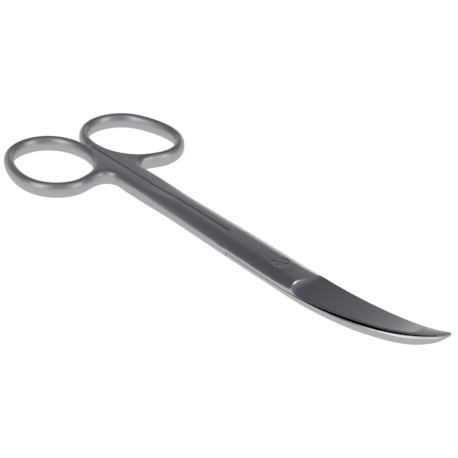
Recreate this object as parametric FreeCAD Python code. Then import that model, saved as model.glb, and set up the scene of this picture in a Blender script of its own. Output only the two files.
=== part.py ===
"""Curved dissecting scissors, shut and lying flat with the tips turned up.

Millimetres. The origin is on the pivot's axis at the underside, +X runs to the tips and +Z is up.
The upper half has its finger ring on the -Y side and its blade on top. The lower half has its ring
on the +Y side and its blade below. Both handles have one shape, turned over for the lower half.
"""
import math
import os

import FreeCAD
import Part

Vector = FreeCAD.Vector

# The shut pair
THICKNESS = 4.88             # of the shanks, and of both laps together
SHANK_GAP = 0.24             # slit between the two shanks
LAP_GAP = 0.10               # running gap between the two laps
SHOULDER_GAP = 0.25          # slit at the slanted shoulders of the laps
EDGE_BREAK = 0.22            # small bevel along the slit
SIDE_ROUND = 2.30            # height of the forged rounding of the outer sides
CROWN = 3.00                 # its width: the tops are crowned this far in from the sides

# Finger rings
RING_END_X = -61.0           # the rings' ends towards the joint
RING_INNER_Y = 2.47          # from the middle line to the finger hole
RING_HOLE_LENGTH = 24.55
RING_HOLE_WIDTH = 18.6
RING_BAR = 2.45              # bar of the ring, seen from above
RING_HEIGHT = 4.04
WEB_DROP = 0.02              # the flat web lies this much below the ring's crest
WEB_ROUND = 1.25
CROTCH_SIZE = 1.60           # size of the corner where ring and shank part

# Shanks and joint
HANDLE_END_X = -50.0         # where the flat web has become a plain shank
SHANK_BLEND = 14.0           # length in which the handle grows to the full thickness
HALF_WIDTH_HANDLE = 4.03
HALF_WIDTH_JOINT = 4.72
SHOULDER_X = -18.3           # where the shoulder leaves the slit
SHOULDER_BEND = (3.2, 2.7)   # from there to the shoulder's bend
SHOULDER_END = (4.3, 4.4)    # and to the outer side
JOINT_END_X = 4.0            # the blades start here

# Blades
BLADE_LENGTH = 54.35         # pivot to tips
BEND_RADIUS = 176.0          # of the upward curve at the joint
TIP_BEND = 39.4              # the smaller this is, the more the tips turn up
BLADE_BOW = 0.24             # extra gap half way along the shut blades
BLADE_SIDE_ROUND = 0.22      # rounding of the blade's sides at the tip
CROWN_FADE = 3.0             # the larger this is, the sooner the crown fades into it
GRIND_X = 8.8                # where the ground outer face begins at the cutting edge
GRIND_LAG = 0.5              # it begins about twice this much later at the back
GRIND_RUN_OUT = 1.0          # length in which the ground face curves out of the top
GRIND_RUN_OUT_HEIGHT = 1.5
EDGE_HEIGHT_JOINT = 0.48     # of the ground face over the cutting edge, from the middle of the pair
EDGE_HEIGHT_TIP = 0.24
EDGE_LAND = 0.06             # wall left at the very edge
EDGE_ANGLE = 30.0            # of the narrow bevel along the cutting edge
UPPER_TIP_ROUND = 0.45
UPPER_TIP_Y = 0.15           # middle of the tip's rounding
LOWER_TIP_ROUND = 2.50
LOWER_TIP_Y = -0.30

# Distance of each outline from the middle line, in equal steps from the joint to just past the tips
UPPER_EDGE = (4.72, 4.42, 3.70, 2.90, 2.26, 1.42, -0.05)
UPPER_BACK = (4.72, 4.34, 3.86, 3.36, 2.65, 1.45, 0.40)
LOWER_EDGE = (4.72, 4.32, 3.82, 3.10, 2.14, 1.35, 0.95)
LOWER_BACK = (4.72, 4.52, 4.22, 3.98, 3.66, 3.42, 2.20)

# Height of each back from the middle of the pair, in the same steps
UPPER_BACK_HEIGHT = (1.95, 1.75, 1.58, 1.38, 1.14, 0.90, 0.42)
LOWER_BACK_HEIGHT = (1.95, 1.82, 1.72, 1.66, 1.62, 1.52, 0.62)

# Finger hole, in halves of its length and width, from the shank side round the outside
HOLE_SHAPE = ((0.993, 0.0), (0.928, 0.54), (0.62, 0.898), (0.174, 1.0), (-0.364, 0.864), (-0.83, 0.51),
              (-0.99, -0.06), (-0.86, -0.57), (-0.5, -0.9), (-0.03, -1.0), (0.45, -0.87), (0.838, -0.487))

# The crotch between ring and shank, in its own size from the ring's end and the shank's side
CROTCH_DEPTH_IN_BAR = 0.86
CROTCH_SHAPE = ((2.15, -0.05), (0.65, 0.03), (-0.6, 1.0))

# Where the web runs in the ring's bar, as shares of the way round
WEB_ON_RING = (0.978, 0.93, 0.87, 0.80, 0.74, 0.69)
WEB_END_SLANT = 1.7          # in ring bars, along the middle line

# Pivot screw
SCREW_RADIUS = 1.55
HEAD_RADIUS = 2.45
HEAD_RIM = 0.35
HEAD_CONE = 0.80
SCREW_CLEARANCE = 0.05
SLOT_WIDTH = 0.70
SLOT_DEPTH = 0.60
SLOT_ANGLE = 26.0
SLOT_SHARE = 0.92            # the slot stops this short of the head's rim

MIDDLE = THICKNESS / 2.0
RING_HALF_HEIGHT = RING_HEIGHT / 2.0
WEB_HALF_HEIGHT = RING_HALF_HEIGHT - WEB_DROP
RING_CENTRE_X = RING_END_X - RING_BAR - RING_HOLE_LENGTH / 2.0
RING_CENTRE_Y = RING_INNER_Y + RING_HOLE_WIDTH / 2.0
ROOM = 30.0                  # reach of the cutting shapes
SPILL = 0.5                  # how far shapes run past a cut
TINY = 1.0e-4
BLADE_STEPS = 12             # outlines along a blade
GRIND_STEPS = 16             # and along its ground face


def blend(a, b, share):
    return a + (b - a) * share


def eased(share):
    """0 to 1 with no slope at either end."""
    share = min(max(share, 0.0), 1.0)
    return share * share * (3.0 - 2.0 * share)


def along_blade(x):
    return min(max((x - JOINT_END_X) / (BLADE_LENGTH - JOINT_END_X), 0.0), 1.0)


def line(a, b):
    return Part.LineSegment(a, b).toShape()


def spline(points, closed=False):
    curve = Part.BSplineCurve()
    curve.interpolate(Points=points, PeriodicFlag=closed)
    return curve


def quarter(start, corner, end):
    """A quarter of an ellipse from start to end inside the square corner."""
    curve = Part.BezierCurve()
    curve.setPoles([start, corner, end])
    curve.setWeight(2, math.sqrt(0.5))
    return curve.toShape()


def prism(points, low, high):
    """A plan polygon filled from one height to another."""
    corners = [Vector(x, y, low) for x, y in points]
    return Part.Face(Part.makePolygon(corners + corners[:1])).extrude(Vector(0.0, 0.0, high - low))


def loft(wires, ruled=False):
    return Part.makeLoft(wires, True, ruled)


def turned_over(shape):
    """Turns a shape half way round the pair's length."""
    copy = shape.copy()
    copy.rotate(Vector(0.0, 0.0, MIDDLE), Vector(1.0, 0.0, 0.0), 180.0)
    return copy


# The handle

def hole_curve():
    """Edge of the upper half's finger hole at the middle height."""
    points = []
    for along, across in HOLE_SHAPE:
        x = RING_CENTRE_X + along * RING_HOLE_LENGTH / 2.0
        y = RING_CENTRE_Y + across * RING_HOLE_WIDTH / 2.0
        points.append(Vector(x, -y, MIDDLE))
    return spline(points, closed=True)


def ring_point(hole, share, reach):
    """A point at a share of the way round the hole, reach outward from its edge."""
    at = blend(hole.FirstParameter, hole.LastParameter, share)
    along = hole.tangent(at)[0]
    outward = Vector(along.y, -along.x, 0.0).normalize()
    point = hole.value(at)
    centre = Vector(RING_CENTRE_X, -RING_CENTRE_Y, MIDDLE)
    if outward.dot(point - centre) < 0.0:
        outward = outward.negative()
    return point + outward * reach


def ring():
    """The finger ring, an upright ellipse carried round the hole."""
    hole = hole_curve()
    count = 2 * len(HOLE_SHAPE)
    middles = [ring_point(hole, i / count, RING_BAR / 2.0) for i in range(count)]
    path = spline(middles, closed=True)
    start = path.value(path.FirstParameter)
    along = path.tangent(path.FirstParameter)[0]
    ellipse = Part.Ellipse(Vector(0.0, 0.0, 0.0), RING_HALF_HEIGHT, RING_BAR / 2.0)
    section = ellipse.toShape()
    section.rotate(Vector(0.0, 0.0, 0.0), Vector(0.0, 1.0, 0.0), -90.0)
    section.rotate(Vector(0.0, 0.0, 0.0), Vector(0.0, 0.0, 1.0), math.degrees(math.atan2(along.y, along.x)))
    section.translate(start)
    return Part.Wire(path.toShape()).makePipeShell([Part.Wire(section)], True, False)


def joins(ends, a, b):
    """Whether the two ends lie straight above or below a and b, either way round."""
    def meets(p, q):
        return math.hypot(p.x - q.x, p.y - q.y) < TINY
    return (meets(ends[0], a) and meets(ends[1], b)) or (meets(ends[0], b) and meets(ends[1], a))


def web():
    """The flat plate between the ring and the shank, rounded at the crotch."""
    hole = hole_curve()
    bar = [ring_point(hole, share, RING_BAR / 2.0) for share in WEB_ON_RING]
    inner_end = Vector(bar[-1].x + RING_BAR * WEB_END_SLANT, SPILL, MIDDLE)
    shank_inner = Vector(HANDLE_END_X, SPILL, MIDDLE)
    shank_outer = Vector(HANDLE_END_X, -HALF_WIDTH_HANDLE, MIDDLE)
    crotch = [shank_outer]
    for along, across in CROTCH_SHAPE:
        x = RING_END_X + along * CROTCH_SIZE
        y = -HALF_WIDTH_HANDLE - across * CROTCH_SIZE
        crotch.append(Vector(x, y, MIDDLE))
    crotch.append(ring_point(hole, WEB_ON_RING[0], RING_BAR * CROTCH_DEPTH_IN_BAR))
    curve = Part.BSplineCurve()
    backward = Vector(-1.0, 0.0, 0.0)
    outward = Vector(0.0, -1.0, 0.0)
    curve.interpolate(Points=crotch, InitialTangent=backward, FinalTangent=outward)
    outline = Part.Wire([
        curve.toShape(),
        line(crotch[-1], bar[0]),
        spline(bar).toShape(),
        line(bar[-1], inner_end),
        line(inner_end, shank_inner),
        line(shank_inner, shank_outer),
    ])
    outline.translate(Vector(0.0, 0.0, -WEB_HALF_HEIGHT))
    plate = Part.Face(outline).extrude(Vector(0.0, 0.0, 2.0 * WEB_HALF_HEIGHT))
    rounded = []
    for edge in plate.Edges:
        ends = [vertex.Point for vertex in edge.Vertexes]
        level = abs(ends[0].z - ends[1].z) < TINY
        at_crotch = level and joins(ends, shank_outer, crotch[-1])
        at_end = level and joins(ends, bar[-1], inner_end)
        if at_crotch or at_end:
            rounded.append(edge)
    return plate.makeFillet(WEB_ROUND, rounded)


# The shanks and laps of the pair, and the cuts that part them

def half_height(x):
    return blend(WEB_HALF_HEIGHT, MIDDLE, eased((x - HANDLE_END_X) / SHANK_BLEND))


def pair_section(x):
    """Outline across the shut pair at x."""
    width = blend(HALF_WIDTH_HANDLE, HALF_WIDTH_JOINT, eased((x - HANDLE_END_X) / -HANDLE_END_X))
    height = half_height(x)
    grown = eased((x - HANDLE_END_X) / SHANK_BLEND)
    across = blend(WEB_ROUND, CROWN, grown)
    upright = blend(WEB_ROUND, SIDE_ROUND, grown)
    edges = []
    for side, way in ((1.0, -1.0), (1.0, 1.0), (-1.0, 1.0), (-1.0, -1.0)):
        flat = Vector(x, side * (width - across), MIDDLE + way * height)
        corner = Vector(x, side * width, MIDDLE + way * height)
        wall = Vector(x, side * width, MIDDLE + way * (height - upright))
        if side * way < 0.0:
            edges.append(quarter(flat, corner, wall))
        else:
            edges.append(quarter(wall, corner, flat))
    joined = []
    for i, edge in enumerate(edges):
        following = edges[(i + 1) % len(edges)]
        joined += [edge, line(edge.valueAt(edge.LastParameter), following.valueAt(following.FirstParameter))]
    return Part.Wire(joined)


def pair_blank():
    """Both shanks and laps as one bar, first growing to the full thickness."""
    full_x = HANDLE_END_X + SHANK_BLEND
    shares = (0.0, 0.25, 0.5, 0.75, 1.0)
    growing = loft([pair_section(blend(HANDLE_END_X, full_x, share)) for share in shares])
    even = loft([pair_section(x) for x in (full_x, full_x * 0.67, full_x * 0.33, 0.0, JOINT_END_X)])
    return growing.fuse(even)


def shoulder_line(shift, start_y):
    """The slanted shoulder on the far side of the top, moved along by shift."""
    return [
        (SHOULDER_X + shift, start_y),
        (SHOULDER_X + shift + SHOULDER_BEND[0], SHOULDER_BEND[1]),
        (SHOULDER_X + shift + SHOULDER_END[0], SHOULDER_END[1]),
        (SHOULDER_X + shift + SHOULDER_END[0], ROOM),
    ]


def other_shank_cut():
    """Room for the lower half's handle, beside the upper one and short of its lap."""
    points = [(-4.0 * ROOM, -SHANK_GAP / 2.0)] + shoulder_line(0.0, -SHANK_GAP / 2.0) + [(-4.0 * ROOM, ROOM)]
    return prism(points, -ROOM, ROOM)


def other_lap_cut():
    """Room for the lower half's lap and blade, under the upper lap."""
    slanted = [(x, -y) for x, y in shoulder_line(-SHOULDER_GAP, SHANK_GAP / 2.0)]
    points = slanted + [(3.0 * ROOM, -ROOM), (3.0 * ROOM, ROOM), (slanted[0][0], ROOM)]
    return prism(points, -ROOM, MIDDLE + LAP_GAP / 2.0)


def slit_bevel(end_x):
    """Breaks the two upper edges along the slit, as far as end_x."""
    stations = [RING_CENTRE_X - RING_HOLE_LENGTH / 2.0, HANDLE_END_X]
    stations += [HANDLE_END_X + SHANK_BLEND * share for share in (0.25, 0.5, 0.75, 1.0)] + [end_x]
    wires = []
    for x in stations:
        top = MIDDLE + half_height(x)
        reach = SHANK_GAP / 2.0 + EDGE_BREAK + SPILL
        corners = [Vector(x, 0.0, top - EDGE_BREAK - SHANK_GAP / 2.0), Vector(x, reach, top + SPILL),
                   Vector(x, -reach, top + SPILL)]
        wires.append(Part.makePolygon(corners + corners[:1]))
    return loft(wires, ruled=True)


def handle_and_lap():
    """The upper half as far as the start of its blade."""
    bevels = [slit_bevel(SHOULDER_X), turned_over(slit_bevel(SHOULDER_X + SPILL))]
    blank = pair_blank().fuse([web(), ring()])
    return blank.cut([other_shank_cut(), other_lap_cut()] + bevels)


# The blades

def rise(x):
    """How far the shut blades have curved up at x."""
    run = max(x - JOINT_END_X, 0.0)
    return run * run / (2.0 * BEND_RADIUS) + (run / TIP_BEND) ** 4


def inner_height(x):
    """Distance of each blade's inner face from the middle of the pair."""
    return LAP_GAP / 2.0 + BLADE_BOW / 2.0 * math.sin(math.pi * along_blade(x)) ** 2


def along_curve(sizes):
    """A curve through sizes that are given in equal steps along a blade."""
    step = (BLADE_LENGTH + SPILL - JOINT_END_X) / (len(sizes) - 1)
    return spline([Vector(JOINT_END_X + i * step, size, 0.0) for i, size in enumerate(sizes)])


def size_at(curve, x):
    plane = Part.Plane(Vector(x, 0.0, 0.0), Vector(1.0, 0.0, 0.0))
    return curve.intersectCS(plane)[0][0].Y


def blade_section(x, edge, back, way):
    """Outline of an unground blade at x. The way is 1 above the middle and -1 below it."""
    share = along_blade(x)
    inner = inner_height(x)
    across = blend(BLADE_SIDE_ROUND, CROWN, (1.0 - share) ** CROWN_FADE)
    upright = SIDE_ROUND - (inner - LAP_GAP / 2.0)
    centre = MIDDLE + rise(x)
    wall = centre + way * (MIDDLE - upright)
    top = centre + way * MIDDLE
    low = centre + way * inner
    edge_y = -way * edge
    back_y = way * back
    edge_low = Vector(x, edge_y, low)
    edge_wall = Vector(x, edge_y, wall)
    edge_top = Vector(x, edge_y + way * across, top)
    back_low = Vector(x, back_y, low)
    back_wall = Vector(x, back_y, wall)
    back_top = Vector(x, back_y - way * across, top)
    return Part.Wire([
        line(edge_low, back_low),
        line(back_low, back_wall),
        quarter(back_wall, Vector(x, back_y, top), back_top),
        line(back_top, edge_top),
        quarter(edge_top, Vector(x, edge_y, top), edge_wall),
        line(edge_wall, edge_low),
    ])


def unground_blade(edge, back, way):
    wires = []
    for i in range(BLADE_STEPS + 1):
        x = blend(JOINT_END_X, BLADE_LENGTH + SPILL, i / BLADE_STEPS)
        wires.append(blade_section(x, size_at(edge, x), size_at(back, x), way))
    return loft(wires)


def ground_off(edge, low, slope, way):
    """All above a face that slopes up from the cutting edge. It runs out of the top near the joint."""
    start_x = GRIND_X - GRIND_RUN_OUT
    span = BLADE_LENGTH + SPILL - start_x
    reach = HALF_WIDTH_JOINT + SPILL
    rows = []
    for i in range(GRIND_STEPS + 1):
        x = start_x + span * (i / GRIND_STEPS) ** 2
        row = []
        for across in (-reach, -reach / 3.0, reach / 3.0, reach):
            from_edge = across + size_at(edge, x)
            run_out_x = GRIND_X + GRIND_LAG * from_edge / reach
            run_out = GRIND_RUN_OUT_HEIGHT * math.exp((run_out_x - x) / GRIND_RUN_OUT)
            height = low(x) + slope(x) * from_edge + run_out
            row.append(Vector(x, way * across, MIDDLE + rise(x) + way * height))
        rows.append(row)
    surface = Part.BSplineSurface()
    surface.interpolate(rows)
    return surface.toShape().extrude(Vector(0.0, 0.0, way * ROOM))


def outer_face_cut(edge, back, back_heights, way):
    def low(x):
        return blend(EDGE_HEIGHT_JOINT, EDGE_HEIGHT_TIP, along_blade(x))

    def slope(x):
        return (size_at(back_heights, x) - low(x)) / (size_at(edge, x) + size_at(back, x))
    return ground_off(edge, low, slope, way)


def edge_bevel_cut(edge, way):
    steep = math.tan(math.radians(EDGE_ANGLE))
    return ground_off(edge, lambda x: inner_height(x) + EDGE_LAND, lambda x: steep, way)


def tip_cut(rounding, y):
    """What is taken off the end to round the tip, seen from above."""
    x = BLADE_LENGTH - rounding
    block = Part.makeBox(ROOM, ROOM, 2.0 * ROOM, Vector(x, -ROOM / 2.0, -ROOM / 2.0))
    return block.cut(Part.makeCylinder(rounding, 2.0 * ROOM, Vector(x, y, -ROOM / 2.0)))


def blade(edge_widths, back_widths, back_heights, tip, way):
    edge = along_curve(edge_widths)
    back = along_curve(back_widths)
    blank = unground_blade(edge, back, way)
    outer_face = outer_face_cut(edge, back, along_curve(back_heights), way)
    return blank.cut([outer_face, edge_bevel_cut(edge, way), tip])


# The pivot

def screw_profile(clearance):
    """Outline of the screw from its axis outward, a little larger for the hole that it turns in."""
    head = HEAD_RADIUS + clearance
    shank = SCREW_RADIUS + clearance
    rim = THICKNESS - HEAD_RIM - clearance
    cone = rim - HEAD_CONE
    return [(0.0, 0.0), (shank, 0.0), (shank, cone), (head, rim), (head, THICKNESS), (0.0, THICKNESS)]


def turned(profile):
    corners = [Vector(radius, 0.0, z) for radius, z in profile]
    face = Part.Face(Part.makePolygon(corners + corners[:1]))
    return face.revolve(Vector(0.0, 0.0, 0.0), Vector(0.0, 0.0, 1.0), 360.0)


def pivot_screw():
    slot = Part.makeBox(ROOM, SLOT_WIDTH, SPILL + SLOT_DEPTH)
    slot.translate(Vector(-ROOM / 2.0, -SLOT_WIDTH / 2.0, THICKNESS - SLOT_DEPTH))
    slot.rotate(Vector(0.0, 0.0, 0.0), Vector(0.0, 0.0, 1.0), SLOT_ANGLE)
    rim = turned(screw_profile(0.0))
    keep = Part.makeCylinder(HEAD_RADIUS * SLOT_SHARE, ROOM)
    return rim.cut(slot.common(keep))


def upper_half():
    tip = tip_cut(UPPER_TIP_ROUND, UPPER_TIP_Y)
    body = handle_and_lap().fuse(blade(UPPER_EDGE, UPPER_BACK, UPPER_BACK_HEIGHT, tip, 1.0))
    return body.cut(turned(screw_profile(SCREW_CLEARANCE)))


def lower_half():
    tip = tip_cut(LOWER_TIP_ROUND, LOWER_TIP_Y)
    body = turned_over(handle_and_lap())
    body = body.fuse(blade(LOWER_EDGE, LOWER_BACK, LOWER_BACK_HEIGHT, tip, -1.0))
    return body.cut(Part.makeCylinder(SCREW_RADIUS, THICKNESS))


def main():
    os.makedirs("parts", exist_ok=True)
    nodes = {"upper_half": upper_half(), "lower_half": lower_half(), "pivot_screw": pivot_screw()}
    for name, shape in nodes.items():
        solid = shape.Solids[0]
        print(name, len(shape.Solids), solid.isValid(), round(solid.Volume, 1), "mm3")
        solid.exportStep("parts/" + name + ".step")


main()
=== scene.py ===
# %% [markdown]
# # Curved dissecting scissors
# Two forged halves turn on one screw. The steel is satin all over, so the looks come from three
# things: how finely the surface was blasted, where the studio is pale or dark, and the soft edge
# of every facet. We start by loading the part itself, which gives the shape of each piece.

# %% Load the part
import math

import bpy
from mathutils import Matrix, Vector

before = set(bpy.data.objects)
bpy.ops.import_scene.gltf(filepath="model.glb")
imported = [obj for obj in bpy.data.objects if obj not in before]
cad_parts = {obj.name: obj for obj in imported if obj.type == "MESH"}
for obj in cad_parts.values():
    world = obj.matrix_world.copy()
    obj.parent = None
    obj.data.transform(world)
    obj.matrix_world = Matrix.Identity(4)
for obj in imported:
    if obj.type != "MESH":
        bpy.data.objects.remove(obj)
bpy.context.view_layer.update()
print("pieces:", sorted(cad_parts))

MM = 0.001


# %% [markdown]
# Colours are picked on a screen, so they are written as hex values. Shaders work with the amount
# of light, so one function turns the hex value into linear light. A second one adds a shader node
# in a single line, and a third one joins two values with a sum that shaders know.

# %% Helpers for colours and shaders
def linear(hex_value):
    """A screen colour such as "C8C9CB" as linear red, green, blue and alpha."""
    channels = []
    for i in (0, 2, 4):
        value = int(hex_value[i:i + 2], 16) / 255.0
        channels.append(value / 12.92 if value <= 0.04045 else ((value + 0.055) / 1.055) ** 2.4)
    return (*channels, 1.0)


def add_node(tree, kind, settings=None, inputs=None, links=None):
    """Adds a shader node, sets its values and links sockets of other nodes to its inputs."""
    node = tree.nodes.new(kind)
    for name, value in (settings or {}).items():
        setattr(node, name, value)
    for name, value in (inputs or {}).items():
        node.inputs[name].default_value = value
    for name, source in (links or {}).items():
        tree.links.new(source, node.inputs[name])
    return node


def combined(tree, operation, first, second):
    """One value made from two sockets, or from a socket and a plain number."""
    plain = isinstance(second, float)
    node = add_node(tree, "ShaderNodeMath", {"operation": operation},
                    {1: second} if plain else None, {0: first} if plain else {0: first, 1: second})
    return node.outputs[0]


def smooth_step(tree, source, start, end, first, last):
    """Changes from first to last while the source goes from start to end."""
    return add_node(tree, "ShaderNodeMapRange", {"interpolation_type": "SMOOTHSTEP"},
                    {"From Min": start, "From Max": end, "To Min": first, "To Max": last},
                    {"Value": source}).outputs["Result"]


print("white is", linear("FFFFFF"))


# %% [markdown]
# ## Stainless steel
# Surgical steel is hardened, ground and then blasted with fine glass beads, so that it doesn't
# dazzle under the lamps. The beads leave dents of about a tenth of a millimetre: far too small to
# see one by one, but together they spread every reflection. That is roughness. Before the beads a
# belt ran across the shanks, and its faint marks stay, so the noise is stretched across the part.
# The ground blades are smoother than the handles, and the change comes gradually, from the middle
# of the shanks to the start of the blades.
# Real edges are never razor sharp. The bevel node bends the shading over the last fraction of a
# millimetre, which draws the thin lines along the blades, the slit and the screw's slot.

# %% Steel
BELT_MARK_STRETCH = 5.0
HANDLE_FINISH_ENDS_X = -50.0 * MM
BLADE_FINISH_STARTS_X = 12.0 * MM
ROUGHNESS_MARKS = 0.03
DENT_DEPTH = 0.01 * MM
DENT_STRENGTH = 0.05


def steel(name, colour, roughness, blade_roughness, grain_mm, edge_mm):
    material = bpy.data.materials.new(name)
    material.use_nodes = True
    tree = material.node_tree
    tree.nodes.clear()
    place = add_node(tree, "ShaderNodeTexCoord").outputs["Object"]
    parts = add_node(tree, "ShaderNodeSeparateXYZ", None, None, {"Vector": place})
    stretched = add_node(tree, "ShaderNodeMapping", None,
                         {"Scale": (1.0, 1.0 / BELT_MARK_STRETCH, 1.0)}, {"Vector": place})
    grain = add_node(tree, "ShaderNodeTexNoise", {"noise_dimensions": "3D"},
                     {"Scale": 1.0 / (grain_mm * MM), "Detail": 3.0, "Roughness": 0.6},
                     {"Vector": stretched.outputs["Vector"]})
    level = smooth_step(tree, parts.outputs["X"], HANDLE_FINISH_ENDS_X, BLADE_FINISH_STARTS_X,
                        roughness, blade_roughness)
    marks = add_node(tree, "ShaderNodeMapRange", None,
                     {"From Min": 0.3, "From Max": 0.7,
                      "To Min": -ROUGHNESS_MARKS, "To Max": ROUGHNESS_MARKS},
                     {"Value": grain.outputs["Fac"]})
    spread = combined(tree, "ADD", level, marks.outputs["Result"])
    soft_edge = add_node(tree, "ShaderNodeBevel", {"samples": 6}, {"Radius": edge_mm * MM})
    dents = add_node(tree, "ShaderNodeBump", None,
                     {"Strength": DENT_STRENGTH, "Distance": DENT_DEPTH},
                     {"Height": grain.outputs["Fac"], "Normal": soft_edge.outputs["Normal"]})
    surface = add_node(tree, "ShaderNodeBsdfPrincipled", None,
                       {"Base Color": linear(colour), "Metallic": 1.0},
                       {"Roughness": spread, "Normal": dents.outputs["Normal"]})
    add_node(tree, "ShaderNodeOutputMaterial", None, None, {"Surface": surface.outputs["BSDF"]})
    return material


blasted = steel("bead-blasted stainless steel", "C4C5C7", 0.44, 0.20, grain_mm=0.30, edge_mm=0.16)
polished = steel("polished stainless steel", "E2E2E2", 0.14, 0.12, grain_mm=0.20, edge_mm=0.10)
turned = steel("turned stainless steel", "BFC0C2", 0.26, 0.26, grain_mm=0.25, edge_mm=0.12)
print("materials:", blasted.name, "-", polished.name, "-", turned.name)


# %% [markdown]
# ## Dressing the pieces
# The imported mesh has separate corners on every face. Welding them and splitting again only at real
# edges lets the forged roundings shade smoothly while the ground edges stay crisp. The faces on
# which the blades slide past each other are polished. They are the level ones beyond the joint that
# look towards the other half: up on the lower half and down on the upper one.

# %% Dress the pieces
BLADE_START_X = 4.0 * MM
LEVEL = 0.85
WELD_DISTANCE = 0.001 * MM
CRISP_ANGLE = math.radians(18.0)

finishes = {"upper_half": (blasted, -1.0), "lower_half": (blasted, 1.0), "pivot_screw": (turned, 0.0)}
for name, (material, inward) in finishes.items():
    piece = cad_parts[name]
    piece.data.materials.clear()
    piece.data.materials.append(material)
    piece.data.materials.append(polished)
    for polygon in piece.data.polygons:
        polygon.use_smooth = True
        slides = polygon.normal.z * inward > LEVEL and polygon.center.x > BLADE_START_X
        polygon.material_index = 1 if slides else 0
    weld = piece.modifiers.new("weld", "WELD")
    weld.merge_threshold = WELD_DISTANCE
    split = piece.modifiers.new("crisp edges", "EDGE_SPLIT")
    split.split_angle = CRISP_ANGLE
    print(name, "has", len(piece.data.polygons), "triangles,",
          sum(polygon.material_index for polygon in piece.data.polygons), "of them polished")


# %% [markdown]
# ## Studio
# Steel has hardly any colour of its own: it shows the room. So the room is built as for a catalogue
# picture. White paper lies under the scissors and rises a little behind them, two tall soft boxes
# stand left and right of the camera, and the rest of the room is dim. The paper draws the pale
# lower bands and the pale tip, the boxes draw the highlights on the rings, and the dim room draws
# the dark bands along the shanks.
# The paper glows a little for the camera, so that it comes out white, and less in the steel. The
# scissors still lay a faint shadow on it.

# %% Paper on the table
PAPER_REACH = 3.0
PAPER_DROP = 0.02 * MM
GLOW_IN_CAMERA = 0.94
GLOW_IN_STEEL = 0.68


def ray_kinds(tree):
    """Two sockets: 1 for what the camera sees, and 1 for what is seen in gloss or through glass."""
    ray = add_node(tree, "ShaderNodeLightPath")
    mirrored = combined(tree, "MAXIMUM", ray.outputs["Is Glossy Ray"], ray.outputs["Is Transmission Ray"])
    return ray.outputs["Is Camera Ray"], mirrored


floor_mesh = bpy.data.meshes.new("floor")
floor_mesh.from_pydata([(-PAPER_REACH, -PAPER_REACH, 0), (PAPER_REACH, -PAPER_REACH, 0),
                        (PAPER_REACH, PAPER_REACH, 0), (-PAPER_REACH, PAPER_REACH, 0)], [], [(0, 1, 2, 3)])
floor = bpy.data.objects.new("floor", floor_mesh)
floor.location.z = -PAPER_DROP
bpy.context.scene.collection.objects.link(floor)

paper = bpy.data.materials.new("white studio paper")
paper.use_nodes = True
tree = paper.node_tree
tree.nodes.clear()
camera_ray, mirrored = ray_kinds(tree)
brightness = combined(tree, "MAXIMUM",
                      combined(tree, "MULTIPLY", camera_ray, GLOW_IN_CAMERA),
                      combined(tree, "MULTIPLY", mirrored, GLOW_IN_STEEL))
matte = add_node(tree, "ShaderNodeBsdfDiffuse", None, {"Color": linear("8C8C8C")})
glow = add_node(tree, "ShaderNodeEmission", None, {"Color": linear("FFFFFF")}, {"Strength": brightness})
both = add_node(tree, "ShaderNodeAddShader", None, None,
                {0: matte.outputs["BSDF"], 1: glow.outputs["Emission"]})
add_node(tree, "ShaderNodeOutputMaterial", None, None, {"Surface": both.outputs["Shader"]})
floor_mesh.materials.append(paper)
print("paper is", 2 * PAPER_REACH, "m wide")


# %% [markdown]
# The world stands for the dim room and for the paper that rises behind the scissors. Its colour
# depends only on the direction in the room. Low down on the far side it is white, and a pale haze
# fades upward from there. The rest is dark on the far side and grey on the camera's side. The
# camera sees white everywhere, as the background is cut out.
# Two measures say where a direction points: how far it faces away from the camera, from -1 to 1,
# and how high it goes, from 0 at the table's level to 1 straight up.

# %% Room
CAMERA_AZIMUTH = 52.548
CAMERA_ELEVATION = 28.526
PAPER_SIDES = (0.62, 0.84)
PAPER_TOP = (0.15, 0.34)
HAZE_TOP = (0.20, 0.62)
HAZE_SHARE = 0.26
ROOM_TURN = (-0.4, 0.3)

azimuth = math.radians(CAMERA_AZIMUTH)
elevation = math.radians(CAMERA_ELEVATION)
away = (-math.sin(azimuth), math.cos(azimuth), 0.0)
world = bpy.data.worlds.new("dim room")
bpy.context.scene.world = world
world.use_nodes = True
tree = world.node_tree
tree.nodes.clear()
around = add_node(tree, "ShaderNodeTexCoord").outputs["Generated"]
facing = add_node(tree, "ShaderNodeVectorMath", {"operation": "DOT_PRODUCT"}, {1: away},
                  {0: around}).outputs["Value"]
height = add_node(tree, "ShaderNodeSeparateXYZ", None, None, {"Vector": around}).outputs["Z"]

behind = smooth_step(tree, facing, *PAPER_SIDES, 0.0, 1.0)
low = smooth_step(tree, height, *PAPER_TOP, 1.0, 0.0)
haze = smooth_step(tree, height, *HAZE_TOP, HAZE_SHARE, 0.0)
rising = combined(tree, "MULTIPLY", behind, combined(tree, "MAXIMUM", low, haze))
camera_ray, mirrored = ray_kinds(tree)
white = combined(tree, "MAXIMUM", camera_ray, combined(tree, "MULTIPLY", mirrored, rising))
side = smooth_step(tree, facing, *ROOM_TURN, 0.0, 1.0)
dim = add_node(tree, "ShaderNodeMix", {"data_type": "RGBA"},
               {6: linear("8D8E92"), 7: linear("64656A")}, {0: side})
shade = add_node(tree, "ShaderNodeMix", {"data_type": "RGBA"}, {7: linear("FFFFFF")},
                 {0: white, 6: dim.outputs[2]})
sky = add_node(tree, "ShaderNodeBackground", None, {"Strength": 1.0}, {"Color": shade.outputs[2]})
add_node(tree, "ShaderNodeOutputWorld", None, None, {"Surface": sky.outputs["Background"]})
print("the paper rises towards", [round(v, 2) for v in away])


# %% [markdown]
# Each soft box is a rectangular lamp aimed at the joint. A lamp's power is spread over its face, so
# the power follows from the face's size and from how bright it looks in the steel.

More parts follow.
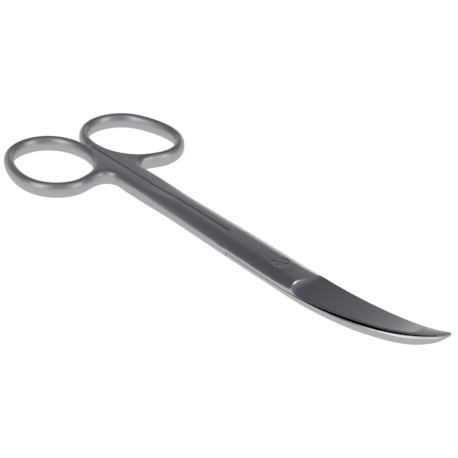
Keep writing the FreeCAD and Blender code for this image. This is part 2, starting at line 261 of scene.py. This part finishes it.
# %% Soft boxes
BOX_DISTANCE = 1.0
BOX_WIDTH = 0.42
BOX_HEIGHT = 0.66


def from_joint(direction_azimuth, direction_elevation):
    """The direction from the joint to something, with azimuth 0 straight in front of the part."""
    return Vector((math.sin(direction_azimuth) * math.cos(direction_elevation),
                   -math.cos(direction_azimuth) * math.cos(direction_elevation),
                   math.sin(direction_elevation)))


def soft_box(name, box_azimuth, box_elevation, radiance):
    lamp = bpy.data.lights.new(name, "AREA")
    lamp.shape = "RECTANGLE"
    lamp.size = BOX_WIDTH
    lamp.size_y = BOX_HEIGHT
    lamp.energy = radiance * math.pi * BOX_WIDTH * BOX_HEIGHT
    box = bpy.data.objects.new(name, lamp)
    out = from_joint(math.radians(box_azimuth), math.radians(box_elevation))
    box.location = out * BOX_DISTANCE
    box.rotation_euler = out.to_track_quat("Z", "Y").to_euler()
    bpy.context.scene.collection.objects.link(box)
    print(name, "stands at", [round(v, 2) for v in box.location], "with", round(lamp.energy, 1), "W")


soft_box("left soft box", CAMERA_AZIMUTH - 55.0, 24.0, radiance=1.9)
soft_box("right soft box", CAMERA_AZIMUTH + 57.0, 22.0, radiance=1.75)


# %% [markdown]
# ## Camera
# The photograph looks down at about 28 degrees from the near right with a long lens.

# %% Camera
CAMERA_DISTANCE = 438.8 * MM
CAMERA_TARGET = Vector((-26.21, 5.69, 0.0)) * MM
SENSOR_WIDTH_MM = 36.0
LENS_MM = 145.72
NEAREST_SEEN = 0.01

toward_camera = from_joint(azimuth, elevation)
camera_data = bpy.data.cameras.new("camera")
camera_data.sensor_width = SENSOR_WIDTH_MM
camera_data.lens = LENS_MM
camera_data.clip_start = NEAREST_SEEN
camera = bpy.data.objects.new("camera", camera_data)
camera.location = CAMERA_TARGET + toward_camera * CAMERA_DISTANCE
camera.rotation_euler = toward_camera.to_track_quat("Z", "Y").to_euler()
bpy.context.scene.collection.objects.link(camera)
bpy.context.scene.camera = camera
bpy.context.scene.view_settings.view_transform = "Standard"
print("camera at", [round(v, 3) for v in camera.location])
